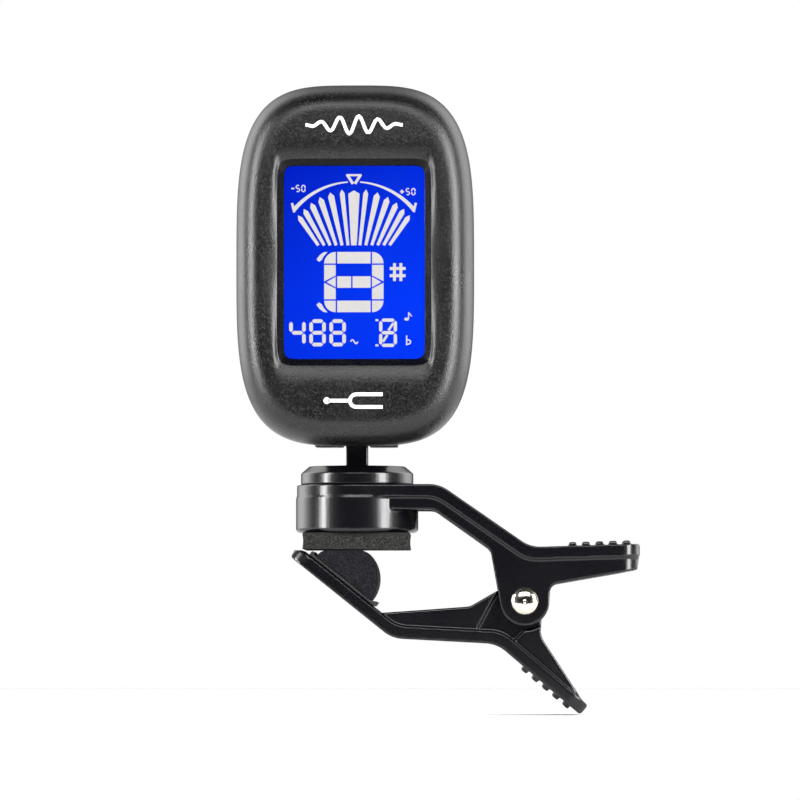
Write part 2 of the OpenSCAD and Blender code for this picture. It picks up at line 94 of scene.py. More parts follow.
class Tree:
    """A node tree with short calls for the nodes used here."""

    def __init__(self, tree):
        self.tree = tree

    def add(self, kind, inputs=None, **settings):
        """A new node with its settings made and its inputs linked or filled."""
        node = self.tree.nodes.new(kind)
        for key, value in settings.items():
            setattr(node, key, value)
        for key, value in (inputs or {}).items():
            self.put(node.inputs[key], value)
        return node

    def put(self, socket, value):
        """Links an output to an input socket, or fills the socket with a plain value."""
        if isinstance(value, bpy.types.NodeSocket):
            self.tree.links.new(value, socket)
        else:
            socket.default_value = value

    def between(self, value, low, high, to_low, to_high):
        """Maps a value from one range to another, and stops at its ends."""
        inputs = {"Value": value, "From Min": low, "From Max": high, "To Min": to_low, "To Max": to_high}
        return self.add("ShaderNodeMapRange", inputs).outputs["Result"]

    def maths(self, operation, *values):
        """The result of one mathematical operation."""
        return self.add("ShaderNodeMath", dict(enumerate(values)), operation=operation).outputs[0]


class Nodes(Tree):
    """A new material, its node tree and its shader."""

    def __init__(self, name):
        self.material = bpy.data.materials.new(name)
        self.material.use_nodes = True
        super().__init__(self.material.node_tree)
        self.shader = self.tree.nodes["Principled BSDF"]
        self.place = self.add("ShaderNodeTexCoord").outputs["Object"]

    def shade(self, name, value):
        """Sets one input of the shader."""
        self.put(self.shader.inputs[name], value)

    def noise(self, size, detail=2.0, roughness=0.5):
        """Noise whose features are about size mm across."""
        inputs = {"Vector": self.place, "Scale": 1 / (size * MM), "Detail": detail, "Roughness": roughness}
        return self.add("ShaderNodeTexNoise", inputs).outputs["Fac"]

    def wander(self, size, low, high):
        """A value that wanders from low to high over patches of about size mm."""
        return self.between(self.noise(size), *NOISE_RANGE, low, high)

    def blend(self, factor, a, b):
        """Mixes two colours."""
        node = self.add("ShaderNodeMix", data_type="RGBA")
        self.put(node.inputs["Factor"], factor)
        self.put(node.inputs["A"], a)
        self.put(node.inputs["B"], b)
        return node.outputs["Result"]

    def bump(self, height, depth, strength=1.0, under=None):
        """A bump of depth mm, laid over another one if under is given."""
        inputs = {"Height": height, "Distance": depth * MM, "Strength": strength}
        if under is not None:
            inputs["Normal"] = under
        return self.add("ShaderNodeBump", inputs).outputs["Normal"]


def rgba(r, g, b):
    """An opaque colour."""
    return (r, g, b, 1.0)


def moulded_plastic(name, dark, light, gloss, grain, grain_depth, spread=0.06, dulled=0.12, ior=1.5):
    """Moulded plastic: a spark-eroded grain with a few paler, duller peaks, and slightly patchy gloss. Where
    the peaks' colour is far paler than the ground, as on the shell, these pale peaks are painted glints.
    """
    patch_size = 7
    n = Nodes(name)
    fine = n.noise(grain, 3, 0.6)
    grain_peaks_and_glints = n.between(fine, 0.5, 0.72, 0, 1)
    patch = n.wander(patch_size, gloss - spread, gloss)
    n.shade("Base Color", n.blend(grain_peaks_and_glints, rgba(*dark), rgba(*light)))
    n.shade("Roughness", n.maths("MULTIPLY_ADD", grain_peaks_and_glints, dulled, patch))
    n.shade("Normal", n.bump(fine, grain_depth))
    n.shade("IOR", ior)
    return n.material


def metal(name, colour, rough, grain=0.25, tint=None, depth=0.003):
    """Plated or bare metal with fine tool marks, and tinted patches if it has a tint."""
    patch_size = 1.5
    n = Nodes(name)
    fine = n.noise(grain, 3)
    patches = n.between(n.noise(patch_size), 0.35, 0.65, 0, 1)
    n.shade("Metallic", 1.0)
    n.shade("Base Color", n.blend(patches, rgba(*colour), rgba(*(tint or colour))))
    n.shade("Roughness", n.between(fine, *NOISE_RANGE, rough, rough + 0.12))
    n.shade("Normal", n.bump(fine, depth, 0.6))
    return n.material


def foam_rubber(name, dark, light, cell, contrast=(0.5, 0.62)):
    """Cellular rubber: pale specks in a dark ground, with open pores and a slightly uneven surface."""
    pore_size = cell * 1.6
    n = Nodes(name)
    specks = n.between(n.noise(cell, 2, 0.7), *contrast, 0, 1)
    cells = n.add("ShaderNodeTexVoronoi", {"Vector": n.place, "Scale": 1 / (pore_size * MM)})
    pores = n.between(cells.outputs["Distance"], 0, 0.5, 0, 1)
    uneven = n.bump(n.noise(1.1, 2), 0.05, 0.4)
    n.shade("Base Color", n.blend(specks, rgba(*dark), rgba(*light)))
    n.shade("Roughness", n.wander(1.2, 0.72, 0.92))
    n.shade("Normal", n.bump(pores, 0.03, 0.8, uneven))
    n.shade("Specular IOR Level", 0.12)
    n.shade("Sheen Weight", 0.01)
    n.shade("Sheen Roughness", 0.5)
    return n.material


def lcd_glass():
    """The lit ground of the display: deep blue, a little darker towards its top left corner."""
    fade_top, fade_foot = LCD_MID_Z + VIEW_H / 2, LCD_MID_Z - VIEW_H / 5
    n = Nodes("lcd_blue")
    split = n.add("ShaderNodeSeparateXYZ", {"Vector": n.place}).outputs
    across = n.between(split["X"], -VIEW_W / 2 * MM, VIEW_W / 2 * MM, 0, 0.45)
    down = n.between(split["Z"], fade_top * MM, fade_foot * MM, 0, 0.55)
    fade = n.maths("ADD", across, down)
    n.shade("Base Color", rgba(0.0, 0.002, 0.01))
    n.shade("Emission Color", n.blend(fade, rgba(0.0, 0.012, 0.55), rgba(0.0, 0.038, 0.98)))
    n.shade("Emission Strength", 1.0)
    n.shade("Specular IOR Level", 0.05)
    n.shade("Roughness", n.wander(6, 0.3, 0.36))
    return n.material


def lcd_white():
    """The lit segments of the display."""
    n = Nodes("lcd_segment")
    n.shade("Base Color", rgba(0.02, 0.02, 0.02))
    n.shade("Emission Color", n.blend(n.noise(0.7), rgba(0.74, 0.7, 0.67), rgba(0.82, 0.79, 0.77)))
    n.shade("Emission Strength", 1.0)
    n.shade("Specular IOR Level", 0.05)
    n.shade("Roughness", 0.4)
    return n.material


def clear_window():
    """Clear acrylic with a hard, slightly wavy surface."""
    n = Nodes("clear_window")
    n.shade("Base Color", rgba(0.97, 0.98, 1.0))
    n.shade("Transmission Weight", 1.0)
    n.shade("IOR", 1.18)
    n.shade("Roughness", 0.0)
    n.shade("Normal", n.bump(n.noise(6), 0.002, 0.3))
    return n.material


def white_ink():
    """Pad-printed white ink, a little thin in places."""
    n = Nodes("white_ink")
    thin = n.between(n.noise(0.12, 3, 0.7), 0.35, 0.6, 0, 1)
    n.shade("Base Color", n.blend(thin, rgba(0.62, 0.62, 0.61), rgba(0.86, 0.86, 0.85)))
    n.shade("Roughness", n.between(thin, 0, 1, 0.6, 0.45))
    n.shade("Normal", n.bump(thin, 0.004, 0.5))
    return n.material


def studio_paper():
    """The pale floor, a little uneven in tone."""
    n = Nodes("studio_paper")
    n.shade("Base Color", n.blend(n.noise(30), rgba(0.86, 0.86, 0.86), rgba(0.9, 0.9, 0.9)))
    n.shade("Roughness", 0.9)
    return n.material


# Plastics: ground colour, peaks' colour, roughness, grain size and grain depth
# The shell's pale peaks, far paler than its ground, are painted glints on its grain.
SHELL = moulded_plastic("shell_plastic", (0.0012, 0.0012, 0.0016), (0.024, 0.024, 0.025), 0.32, 0.24, 0.05)
# The bevel's plastic is the shell's plastic with painted shade: dimmer pale peaks and a lower IOR darken it,
# as the bevel lies in shade.
BEVEL_SHADED_PLASTIC = moulded_plastic("bevel_plastic_painted_shade", (0.0015, 0.0015, 0.0017), (0.005, 0.005, 0.005), 0.24, 0.2, 0.03,
                        spread=0.02, ior=1.28)
CLIP = moulded_plastic("clip_plastic", (0.002, 0.002, 0.0032), (0.0032, 0.0032, 0.005), 0.24, 0.3, 0.0012,
                       spread=0.03, dulled=0.02)
DARK = moulded_plastic("dark_plastic", (0.01, 0.01, 0.011), (0.02, 0.02, 0.022), 0.45, 0.2, 0.006)
BUTTON = moulded_plastic("button_rubber", (0.03, 0.03, 0.033), (0.05, 0.05, 0.053), 0.6, 0.15, 0.01)
NYLON = moulded_plastic("nylon", (0.5, 0.48, 0.42), (0.62, 0.6, 0.54), 0.5, 0.3, 0.005)
WHITE_PLASTIC = moulded_plastic("white_plastic", (0.7, 0.7, 0.66), (0.8, 0.8, 0.76), 0.5, 0.3, 0.004)
BOARD = moulded_plastic("board_mask", (0.01, 0.11, 0.04), (0.02, 0.17, 0.06), 0.3, 0.8, 0.004)
ELASTOMER = moulded_plastic("elastomer", (0.45, 0.15, 0.18), (0.6, 0.25, 0.28), 0.6, 0.3, 0.004)
WIRE_RED = moulded_plastic("wire_red", (0.4, 0.02, 0.02), (0.5, 0.04, 0.04), 0.4, 0.4, 0.004)

# Metals: colour, roughness, size of the tool marks and tint
NICKEL = metal("nickel", (0.83, 0.79, 0.71), 0.06, 0.5, (0.78, 0.72, 0.62))
ZINC = metal("zinc_steel", (0.55, 0.54, 0.51), 0.25, 0.2, (0.48, 0.47, 0.44))
SPRING = metal("spring_steel", (0.5, 0.49, 0.47), 0.22, 0.15, (0.42, 0.41, 0.4))
GOLD = metal("gold_contact", (0.75, 0.58, 0.28), 0.2, 0.3)
BRASS = metal("piezo_brass", (0.7, 0.52, 0.24), 0.25, 0.3)

# Rubbers: ground colour, specks' colour, cell size and contrast
PAD = foam_rubber("pad_rubber", (0.004, 0.004, 0.004), (0.065, 0.065, 0.06), 0.13, (0.44, 0.72))
ROUND_PAD = foam_rubber("round_pad_rubber", (0.002, 0.002, 0.003), (0.022, 0.021, 0.028), 0.15, (0.46, 0.7))
TAPE = foam_rubber("tape", (0.008, 0.008, 0.008), (0.02, 0.02, 0.02), 0.2)

# Display and printing
LCD = lcd_glass()
SEGMENT = lcd_white()
WINDOW = clear_window()
INK = white_ink()

NODE_MATERIALS = {
    CLIP: ["upper_arm", "lower_arm", "swivel_stem"],
    SHELL: ["rear_shell", "battery_cover", "front_shell"],
    DARK: ["barrel_base", "pad_carrier", "battery_holder", "tuner_chip"],
    BUTTON: ["power_button", "pitch_button", "key_button"],
    NYLON: ["tilt_washers"],
    WHITE_PLASTIC: ["lcd_frame", "backlight_panel"],
    BOARD: ["circuit_board"],
    ELASTOMER: ["contact_strip"],
    WIRE_RED: ["piezo_leads"],
    NICKEL: ["pivot_rivet", "rivet_cap"],
    ZINC: [
        "swivel_washer", "swivel_screw", "tilt_pin", "crystal", "button_switches", "case_screws", "coin_cell",
    ],
    GOLD: ["negative_contact", "positive_contact"],
    BRASS: ["piezo_disc"],
    TAPE: ["upper_pad_tape", "pad_tape", "window_gasket"],
    PAD: ["upper_pad"],
    ROUND_PAD: ["round_pad"],
    SPRING: ["torsion_spring"],
    LCD: ["lcd_panel"],
    WINDOW: ["display_window"],
}

# Voxel size in mm for the nodes whose edges are softened: the edge radius comes out at about twice that
VOXELS = {
    "upper_arm": 0.16, "lower_arm": 0.16, "swivel_stem": 0.13, "pad_carrier": 0.1, "rear_shell": 0.16,
    "battery_cover": 0.12, "power_button": 0.1, "pitch_button": 0.1, "key_button": 0.1,
}


def dress_cad_nodes():
    """Gives every CAD node its material, also the nodes that pieces made here replace."""
    for material, names in NODE_MATERIALS.items():
        for name in names:
            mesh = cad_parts[name].data
            mesh.materials.clear()
            mesh.materials.append(material)


def soften(node, voxel):
    """Rounds a CAD node's edges as a mould does, with modifiers that leave its own mesh as it is."""
    node.data.shade_smooth()
    weld = node.modifiers.new("weld", "WELD")
    weld.merge_threshold = 0.001 * MM
    skin = node.modifiers.new("skin", "REMESH")
    skin.mode = "VOXEL"
    skin.voxel_size = voxel * MM
    skin.use_smooth_shade = True
    ease = node.modifiers.new("ease", "SMOOTH")
    ease.factor = 0.5
    ease.iterations = 6


# ---------- Mesh helpers ----------

def piece(name, verts, faces, material, body, smooth=True):
    """A new object from points in mm, riding a body."""
    mesh = bpy.data.meshes.new(name)
    mesh.from_pydata([Vector(v) * MM for v in verts], [], faces)
    mesh.validate()
    made = bmesh.new()
    made.from_mesh(mesh)
    bmesh.ops.recalc_face_normals(made, faces=made.faces)
    made.to_mesh(mesh)
    made.free()
    mesh.polygons.foreach_set("use_smooth", [smooth] * len(mesh.polygons))
    mesh.materials.append(material)
    shown = bpy.data.objects.new(name, mesh)
    bpy.context.scene.collection.objects.link(shown)
    if body:
        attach(shown, body)
    return shown


def ring_faces(rings, count, closed=False):
    """Quads between rings of count points. Closed joins last to first, and otherwise both ends get a cap."""
    pairs = [(i, (i + 1) % rings) for i in range(rings if closed else rings - 1)]
    quads = [
        (a * count + k, a * count + (k + 1) % count, b * count + (k + 1) % count, b * count + k)
        for a, b in pairs
        for k in range(count)
    ]
    if closed:
        return quads
    last = (rings - 1) * count
    return [*quads, tuple(range(count))[::-1], tuple(range(last, last + count))]


def circle_points(centre, wide, tall, count):
    """Points round a flat ellipse."""
    turns = (2 * math.pi * k / count for k in range(count))
    return [Vector((centre[0] + wide * math.cos(t), centre[1] + tall * math.sin(t))) for t in turns]


def lathe(profile, centre, axis, steps=64):
    """Points and faces of a profile of (radius, height) turned round an axis through centre."""
    axis = Vector(axis).normalized()
    side = axis.orthogonal().normalized()
    other = axis.cross(side)
    verts = [
        Vector(centre) + axis * h + (side * math.cos(t) + other * math.sin(t)) * r
        for r, h in profile
        for t in (2 * math.pi * k / steps for k in range(steps))
    ]
    return verts, ring_faces(len(profile), steps)


# ---------- Front shell ----------

# The casing's section from its side wall to its ridge: distance in from the outline, and depth
SIDE_SECTION = [
    (0.0, 6.4), (0.07, 5.2), (0.28, 4.0), (0.7, 2.75), (1.2, 1.76), (1.7, 1.1), (2.25, 0.62), (2.8, 0.3),
    (3.4, 0.09), (4.0, 0.01),
]
RIDGE_INSET = SIDE_SECTION[-1][0]

# Its section from the inside of its wall over the tongue to the rim: distance in from the outline, and
# distance behind the parting plane. The tongue closes the view through the seam.
RIM_SECTION = [(2.1, 0.6), (1.6, 0.6), (1.6, 0.0), (0.3, 0.0), (0.1, -0.12), (0.03, -1.0)]

# The bevel from the lip to the window: share of its width, share of its depth, and squareness of its corners
BEVEL_SECTION = [(0.06, 0.03, 15), (0.13, 0.1, 15), (0.88, 0.84, 19), (0.98, 0.93, 21), (1.0, 1.0, 23)]
BEVEL_DEPTH = 1.15
BEVEL_OUT = 1.1
LIP_N = 15
OPENING_N = 24
FRONT_WALL = 1.8

# The face sinks by DISH towards the window's lip, from DISH_REACH away, in a number of steps
DISH = 0.55
DISH_REACH = 3.0
DISH_STEPS = 16
INK_ROOM = 0.01  # keeps the printed marks inside the CAD's box
AROUND = 320  # points round the head


def directions(count):
    """Directions round the head, drawn together at the corners."""
    pull = 0.85
    t = np.arange(count) * 2 * np.pi / count
    return t + pull * np.sin(4 * t) / 4


def squircle(w, h, n, phi):
    """Points of a superellipse in fixed directions, so that outlines of any size line up."""
    c, s = np.cos(phi), np.sin(phi)
    reach = (np.abs(c) ** n + np.abs(s) ** n) ** (-1 / n)
    return np.stack([w / 2 * reach * c, h / 2 * reach * s], axis=1)


def spline(points, steps):
    """A Catmull-Rom curve through points, with a number of steps between each two."""
    ends = [2 * points[0] - points[1], *points, 2 * points[-1] - points[-2]]
    curve = []
    for a, b, c, d in zip(ends, ends[1:], ends[2:], ends[3:]):
        for t in (k / steps for k in range(steps)):
            curve.append(b + 0.5 * t * (c - a + t * (2 * a - 5 * b + 4 * c - d + t * (3 * (b - c) + d - a))))
    return curve + [points[-1]]


def front_shell_rings():
    """The casing's front as closed rings of (x, z) with a depth, and which faces are the window's bevel."""
    phi = directions(AROUND)

    def outline(inset):
        """The head's outline, moved in."""
        return squircle(HEAD_W - 2 * inset, HEAD_H - 2 * inset, HEAD_N, phi)

    def window(grow, n):
        """The visible area's outline, moved out."""
        return squircle(VIEW_W + 2 * grow, VIEW_H + 2 * grow, n, phi) + [0, LCD_MID_Z - HEAD_MID_Z]

    rings = [(outline(inset), SPLIT_Y + behind) for inset, behind in RIM_SECTION]
    side = spline([np.array(point) for point in SIDE_SECTION], 3)
    rings += [(outline(max(inset, 0.002)), FRONT_Y + max(depth, INK_ROOM)) for inset, depth in side]

    lip, ridge = window(BEVEL_OUT, LIP_N), outline(RIDGE_INSET)
    gap = np.linalg.norm(lip - ridge, axis=1, keepdims=True)
    for step in range(1, DISH_STEPS + 1):
        share = step / DISH_STEPS
        near = np.clip(1 - gap * (1 - share) / DISH_REACH, 0, 1)
        rings.append((ridge + (lip - ridge) * share, FRONT_Y + INK_ROOM + DISH * near[:, 0] ** 2))

    lip_y = FRONT_Y + INK_ROOM + DISH
    bevel_from = len(rings)
    for width, depth, n in BEVEL_SECTION:
        rings.append((window(BEVEL_OUT * (1 - width), n), lip_y + depth * BEVEL_DEPTH))
    rings.append((window(0, OPENING_N), FRONT_Y + FRONT_WALL))
    bevel_to = len(rings) - 1
    rings.append((outline(RIM_SECTION[0][0]), FRONT_Y + FRONT_WALL))
    return rings, range(bevel_from * AROUND, bevel_to * AROUND)


def build_front_shell():
    """The casing's front, with a shaded copy of its plastic on the window's bevel: painted shade."""
    rings, bevel = front_shell_rings()
    verts = [
        (x, y, z + HEAD_MID_Z)
        for points, depth in rings
        for (x, z), y in zip(points, np.broadcast_to(depth, AROUND))
    ]
    shell = piece("front_casing", verts, ring_faces(len(rings), AROUND, True), SHELL, "head")
    shell.data.materials.append(BEVEL_SHADED_PLASTIC)
    for face in bevel:
        shell.data.polygons[face].material_index = 1
    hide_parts("front_shell")
    return shell


# ---------- Flat marks: display segments and printed icons ----------

def bar(a, b, width, end_width=None, point=0.0):
    """A straight stroke from a to b; point gives it a pointed far end of that length."""
    a, b = Vector(a), Vector(b)
    along = (b - a).normalized()
    side = Vector((-along.y, along.x))
    near, far = width / 2, (width if end_width is None else end_width) / 2
    shoulder = b - along * point
    tip = [b] if point else []
    return [a - side * near, shoulder - side * far, *tip, shoulder + side * far, a + side * near]


def ring_bar(centre, radius, start, end, widths, steps=24):
    """A curved stroke along a circle, between two angles in degrees, with a width at each end."""
    inner, outer = [], []
    for k in range(steps + 1):
        share = k / steps
        turn = math.radians(start + (end - start) * share)
        half = (widths[0] + (widths[1] - widths[0]) * share) / 2
        ray = Vector((math.cos(turn), math.sin(turn)))
        inner.append(Vector(centre) + ray * (radius - half))
        outer.append(Vector(centre) + ray * (radius + half))
    return inner + outer[::-1]


def wave_stroke(points, width):
    """A stroke of even width along a list of points."""
    left, right = [], []
    for k, p in enumerate(points):
        along = (points[min(k + 1, len(points) - 1)] - points[max(k - 1, 0)]).normalized()
        side = Vector((-along.y, along.x)) * width / 2
        left.append(p + side)
        right.append(p - side)
    return left + right[::-1]


def seven_segment(lit, centre, w, h, stroke, gap=0.1):
    """The lit bars of a seven-segment digit, as six-sided strokes."""
    x, z = w / 2 - stroke / 2, h / 2 - stroke / 2
    ends = {
        "top": ((-x, z), (x, z)), "middle": ((-x, 0), (x, 0)), "bottom": ((-x, -z), (x, -z)),
        "upper_left": ((-x, 0), (-x, z)), "upper_right": ((x, 0), (x, z)),
        "lower_left": ((-x, -z), (-x, 0)), "lower_right": ((x, -z), (x, 0)),
    }
    bars = []
    for name in lit:
        a, b = (Vector(end) + Vector(centre) for end in ends[name])
        along = (b - a).normalized()
        side = Vector((-along.y, along.x)) * stroke / 2
        a, b = a + along * gap, b - along * gap
        near, far = a + along * stroke / 2, b - along * stroke / 2
        bars.append([a, near - side, far - side, b, far + side, near + side])
    return bars


DIGITS = {
    "0": ["top", "bottom", "upper_left", "upper_right", "lower_left", "lower_right"],
    "4": ["middle", "upper_left", "upper_right", "lower_right"],
    "5": ["top", "middle", "bottom", "upper_left", "lower_right"],
    "8": ["top", "middle", "bottom", "upper_left", "upper_right", "lower_left", "lower_right"],
}


def digits(text, centre, w, h, pitch, stroke, gap=0.1):
    """A row of seven-segment digits, its middle at centre."""
    first = centre[0] - pitch * (len(text) - 1) / 2
    return [
        shape
        for k, digit in enumerate(text)
        for shape in seven_segment(DIGITS[digit], (first + k * pitch, centre[1]), w, h, stroke, gap)
    ]


# The display's layout, in mm from the middle of the visible area
DIAL = Vector((-0.1, 0.45))
DIAL_R = 11.8
DIAL_ANGLES = (4.5, 50.5)  # where each half of the arc starts and ends, in degrees from upright
FAN = Vector((-0.1, -5.3))  # the point that all needles radiate from
NEEDLES_EACH_SIDE = 6
NEEDLE_PITCH = 0.895
NEEDLE_FOOT_Z = 2.65


def dial_shapes():
    """The cents dial: an arc that thickens to its ends, with end ticks and a hollow marker."""
    top_z, half_w = 12.8, 1.15
    shapes = []
    for side in (-1, 1):
        start, end = (90 - side * angle for angle in DIAL_ANGLES)
        shapes.append(ring_bar(DIAL, DIAL_R, start, end, (0.2, 0.62)))
        shapes.append(bar(DIAL + Vector((side * 9.35, 8.6)), DIAL + Vector((side * 9.0, 7.2)), 0.36))
        shapes.append(bar(DIAL + Vector((side * 0.15, 11.5)), DIAL + Vector((side * 1.05, 12.9)), 0.42))
    shapes.append(bar(DIAL + Vector((-half_w, top_z)), DIAL + Vector((half_w, top_z)), 0.32))
    return shapes


def needle_size(i):
    """A needle's reach from the dial's centre, its widths at tip and foot, and the length of its point."""
    if i == 0:
        return 10.5, 1.7, 0.86, 0.5
    tip_w = 0.74 if abs(i) == 1 else 1.05 - 0.05 * abs(i)
    return 10.8, tip_w, 0.44, 0.62


def needle_shapes():
    """The fan of needles, each from its foot to a circle round the dial's centre."""
    shapes = []
    for i in range(-NEEDLES_EACH_SIDE, NEEDLES_EACH_SIDE + 1):
        rim, tip_w, foot_w, point = needle_size(i)
        foot = Vector((FAN.x + i * NEEDLE_PITCH, NEEDLE_FOOT_Z))
        ray = (foot - FAN).normalized()
        off = foot - DIAL
        reach = -off.dot(ray) + math.sqrt(off.dot(ray) ** 2 - off.length_squared + rim ** 2)
        shapes.append(bar(foot, foot + ray * reach, foot_w, tip_w, point))
    return shapes


def corner_block(x, z, size, sx, sz):
    """A square block whose outer corner is a quarter circle."""
    steps = 8
    arc = [
        Vector((x + sx * size * math.cos(t), z + sz * size * math.sin(t)))
        for t in (math.pi / 2 * k / steps for k in range(steps + 1))
    ]
    return [Vector((x, z)), *arc]


# The note character's box and stroke, and the outline of its serifs beyond its left corners
NOTE_LEFT, NOTE_RIGHT, NOTE_TOP, NOTE_BOTTOM = -4.48, 4.26, 1.65, -7.45
NOTE_STROKE = 1.74
NOTE_GAP = 0.22
SERIF = [
    (0.38, 1.76), (-0.2, 1.7), (-0.8, 1.25), (-1.28, 0.6), (-0.87, 0.25), (-0.45, 0.55), (-0.2, 1.05),
    (0.2, 1.5),
]


def note_shapes():
    """The large note character, all its segments lit."""
    t, gap = NOTE_STROKE, NOTE_GAP / 2
    mid = (NOTE_TOP + NOTE_BOTTOM) / 2
    inner_l, inner_r = NOTE_LEFT + t, NOTE_RIGHT - t
    walls = ((inner_l - gap, -1), (inner_r + gap, 1))
    shapes = []
    for z, sz in ((NOTE_TOP - t, 1), (NOTE_BOTTOM + t, -1)):
        shapes += [corner_block(x, z, t, sx, sz) for x, sx in walls]
        shapes.append(bar((inner_l + gap, z + sz * t / 2), (inner_r - gap, z + sz * t / 2), t))
        shapes.append([Vector((NOTE_LEFT + x, z + sz * y)) for x, y in SERIF])
        near = z - sz * NOTE_GAP
        for x, sx in walls:
            outer = x + sx * t
            corners = ((x, near), (outer, near), (outer, mid + sz * gap), (x, mid + sz))
            shapes.append([Vector(corner) for corner in corners])
    wedge_half_h, wedge_len = 0.8, t - 0.35
    for x, sx in walls:
        shapes.append([Vector((x, mid + wedge_half_h)), Vector((x, mid - wedge_half_h)),
                       Vector((x + sx * wedge_len, mid))])
    split_x = (inner_l + inner_r) / 2 - 0.3
    shapes.append(bar((inner_l + gap, mid), (split_x - gap, mid), t))
    shapes.append(bar((split_x + gap, mid), (inner_r - gap, mid), t))
    return shapes


def sharp_sign(x, z, w, h, stroke):
    """A sharp sign: two uprights and two cross bars."""
    spacing = (-0.2, 0.2)
    uprights = [bar((x + share * w, z - h / 2), (x + share * w, z + h / 2), stroke) for share in spacing]
    crosses = [bar((x - w / 2, z + share * h), (x + w / 2, z + share * h), stroke) for share in spacing]
    return uprights + crosses


def flat_sign(x, z, h):
    """A flat sign: a stem and an open bowl that drops a little as it closes."""
    stroke, steps = 0.2, 8
    bowl = [
        Vector((x + 0.05 + 0.55 * math.sin(t), z - 0.2 * h + 0.26 * h * math.cos(t) + 0.1 * t / math.pi))
        for t in (math.pi * k / steps for k in range(steps + 1))
    ]
    return [bar((x, z - h / 2), (x, z + h / 2), stroke), wave_stroke(bowl, stroke)]


def eighth_note(x, z, h):
    """An eighth note: an oval head, a stem and a flag."""
    stem_x, foot, top = x + 0.05, z - h / 2, z + h / 2
    head = circle_points((x - 0.25, foot + 0.25), 0.36, 0.24, 14)
    stem = bar((stem_x, foot + 0.3), (stem_x, top), 0.16)
    flag = bar((stem_x, top - 0.1), (stem_x + 0.5, top - 0.65), 0.24, 0.12)
    return [head, stem, flag]


def ripple_points(start, length, rise, waves, steps):
    """Points along a number of sine waves."""
    return [
        Vector((start[0] + length * k / steps, start[1] + rise * math.sin(2 * math.pi * waves * k / steps)))
        for k in range(steps + 1)
    ]


def lower_row_shapes():
    """The pitch digits, the small key character with its slash, and small musical signs."""
    row_z, pitch_x, key_x = -10.55, -5.58, 4.85
    slash_w, dash_w = 0.36, 0.3
    shapes = digits("488", (pitch_x, row_z), 2.5, 4.1, 3.03, 0.56)
    shapes += seven_segment(DIGITS["8"], (key_x + 0.2, row_z), 2.7, 4.3, 0.5)
    shapes.append(bar((key_x - 0.55, row_z - 1.35), (key_x + 0.1, row_z - 0.35), slash_w))
    shapes.append(bar((key_x + 0.25, row_z + 0.35), (key_x + 1.0, row_z + 1.45), slash_w))
    for z in (row_z - 1.9, row_z + 1.9):
        shapes.append(bar((key_x - 1.7, z), (key_x - 1.25, z), dash_w))
    shapes += flat_sign(7.85, -11.7, 1.5)
    shapes += eighth_note(8.1, -8.1, 1.3)
    shapes.append(wave_stroke(ripple_points((-0.6, -11.9), 1.1, 0.3, 1, 12), 0.2))
    return shapes


def scale_end_shapes():
    """The numbers at the two ends of the dial, with a minus and a plus sign."""
    minus_z, plus_z, plus_x = 11.25, 10.75, 7.15
    half_bar, sign_w = 0.3, 0.22
    shapes = []
    for centre in ((-8.15, minus_z), (8.45, plus_z)):
        shapes += digits("50", centre, 0.66, 1.1, 0.84, 0.18, 0.02)
    shapes.append(bar((-9.55, minus_z), (-9.1, minus_z), sign_w))
    shapes.append(bar((plus_x - half_bar, plus_z), (plus_x + half_bar, plus_z), sign_w))
    shapes.append(bar((plus_x, plus_z - half_bar), (plus_x, plus_z + half_bar), sign_w))
    return shapes


def flat_marks(name, shapes, depth_at, thickness, material, body, towards=-1):
    """Thin raised marks from outlines in (x, z); depth_at gives the surface they lie on."""
    verts, faces = [], []
    for shape in shapes:
        base, n = len(verts), len(shape)
        for x, z in shape:
            verts.append((x, depth_at(x, z), z))
        for x, z in shape:
            verts.append((x, depth_at(x, z) + towards * thickness, z))
        faces.append(tuple(base + k for k in range(n)))
        faces.append(tuple(base + n + k for k in reversed(range(n))))
        faces += [(base + k, base + (k + 1) % n, base + n + (k + 1) % n, base + n + k) for k in range(n)]
    piece(name, verts, faces, material, body, smooth=False)


# How far the segments and the printing stand off the surface under them, and how thick they are
SEGMENT_LIFT = 0.01
SEGMENT_T = 0.03
INK_LIFT = 0.015
FRONT_INK_T = 0.02
REAR_INK_T = 0.03


def build_display():
    """All the display's segments, just in front of the panel."""
    shapes = dial_shapes() + needle_shapes() + scale_end_shapes() + note_shapes()
    shapes += sharp_sign(6.5, -1.4, 2.4, 2.7, 0.45) + lower_row_shapes()
    shapes = [[(p[0], p[1] + LCD_MID_Z) for p in shape] for shape in shapes]
    front = LCD_FRONT_Y - SEGMENT_LIFT
    flat_marks("lcd_segments", shapes, lambda x, z: front, SEGMENT_T, SEGMENT, "head")


def surface_depth(shell, towards):
    """A function that gives the depth just off a surface seen along Y, from the side that towards says."""
    tree = BVHTree.FromObject(shell, bpy.context.evaluated_depsgraph_get())
    far = 0.1

    def depth_at(x, z):
        """The depth at one point of the surface."""
        start = Vector((x * MM, towards * far, z * MM))
        hit = tree.ray_cast(start, Vector((0, -towards, 0)))[0]
        return hit.y / MM - towards * INK_LIFT

    return depth_at


def wave_mark():
    """A fading sound wave, in short strips that follow the casing's curve."""
    mid_z, half_len, rise, wavelength = 63.7, 7.3, 1.35, 2.9
    stroke, steps = 0.5, 96
    wave = []
    for k in range(steps + 1):
        x = -half_len + 2 * half_len * k / steps
        swell = rise * math.cos(x / half_len * math.pi / 2) ** 1.3
        wave.append(Vector((x, mid_z + swell * math.sin(x * 2 * math.pi / wavelength))))
    return [wave_stroke(wave[k:k + 3], stroke) for k in range(0, steps, 2)]


